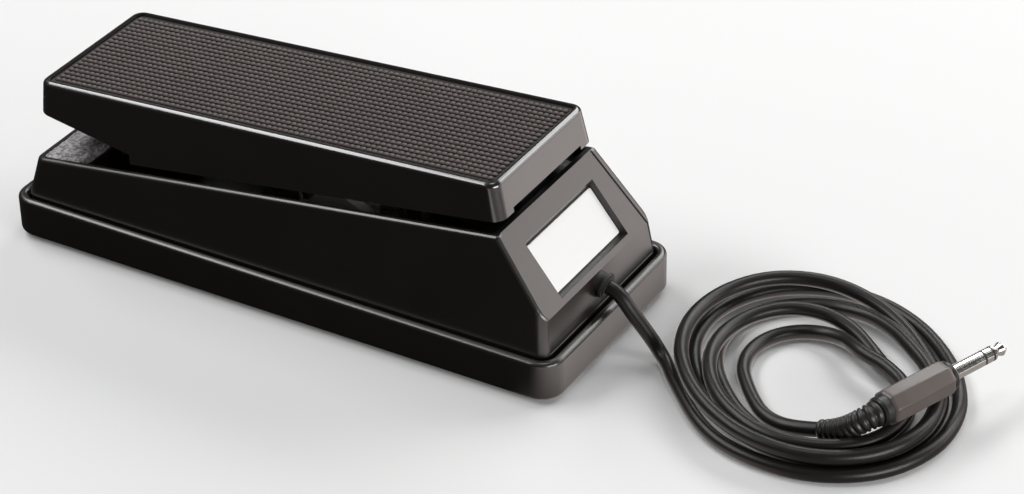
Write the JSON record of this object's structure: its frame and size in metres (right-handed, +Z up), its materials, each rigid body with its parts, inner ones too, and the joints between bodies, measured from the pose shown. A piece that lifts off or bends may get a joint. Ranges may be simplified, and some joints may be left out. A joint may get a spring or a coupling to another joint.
{
  "type": "expression pedal",
  "caption": "Expression pedal: a ribbed treadle that rocks on a shaft over a standing housing, geared to a potentiometer, with a coiled cable ending in a quarter inch plug.",
  "frame": {"origin": "on the floor under the middle of the standing tray", "axes": "+X from the heel end to the toe end, where the cable leaves; +Z up"},
  "size_m": [0.4216, 0.1322, 0.0862],
  "materials": {
    "dark_shell": "satin",
    "white_plate": "matte",
    "grey_foam": "open-cell foam",
    "black_rubber": "matte",
    "mat_rubber": "ribbed, matte",
    "zinc_steel": "zinc plated",
    "bright_steel": "ground",
    "white_nylon": "moulded",
    "brass_tags": "bare",
    "lead_jackets": "extruded",
    "cord_jacket": "satin",
    "boot_rubber": "matte",
    "black_plastic": "moulded",
    "plug_plastic": "satin",
    "plug_metal": "polished nickel"
  },
  "bodies": {
    "base": {"base_tray": "dark_shell", "upper_housing": "dark_shell", "label_plate": "white_plate", "heel_foam_pad": "grey_foam", "toe_bumper": "black_rubber", "pivot_bracket": "zinc_steel", "pivot_shaft": "bright_steel", "shaft_clips": "zinc_steel", "pivot_bracket_screws": "zinc_steel", "pot_bracket_screws": "zinc_steel", "housing_screws": "zinc_steel", "rubber_feet": "black_rubber", "pot_bracket": "zinc_steel", "potentiometer_body": "zinc_steel", "pot_washer_ring": "zinc_steel", "pot_nut": "zinc_steel", "pot_terminals": "brass_tags", "inner_leads": "lead_jackets", "inner_cord": "cord_jacket", "cord_grommet": "black_rubber", "cable_clamp": "black_plastic", "cable_clamp_screws": "zinc_steel", "cord": "cord_jacket", "cord_coil": "cord_jacket", "plug_boot": "boot_rubber", "plug_collar": "black_plastic", "plug_handle": "plug_plastic", "plug_flange": "black_plastic", "plug_sleeve": "plug_metal", "plug_insulators": "black_plastic", "plug_ring": "plug_metal", "plug_tip": "plug_metal"},
    "treadle": {"treadle_shell": "dark_shell", "tread_mat": "mat_rubber", "pivot_bushings": "white_nylon", "sector_gear": "white_nylon", "sector_screws": "zinc_steel"},
    "pot_rotor": {"pinion_gear": "white_nylon", "pot_shaft": "bright_steel"}
  },
  "joints": [
    {"name": "treadle_rock", "type": "hinge", "parent": "base", "child": "treadle", "pos_m": [-0.012, 0, 0.0475], "axis": [0, -1, 0], "range_deg": [0, 9]},
    {"name": "pot_turn", "type": "hinge", "parent": "base", "child": "pot_rotor", "pos_m": [0.02954, 0, 0.03072], "axis": [0, -1, 0], "range_deg": [-80, 0]}
  ],
  "couplings": [
    {"joint": "pot_turn", "follows": "treadle_rock", "ratio": -8.3333}
  ]
}
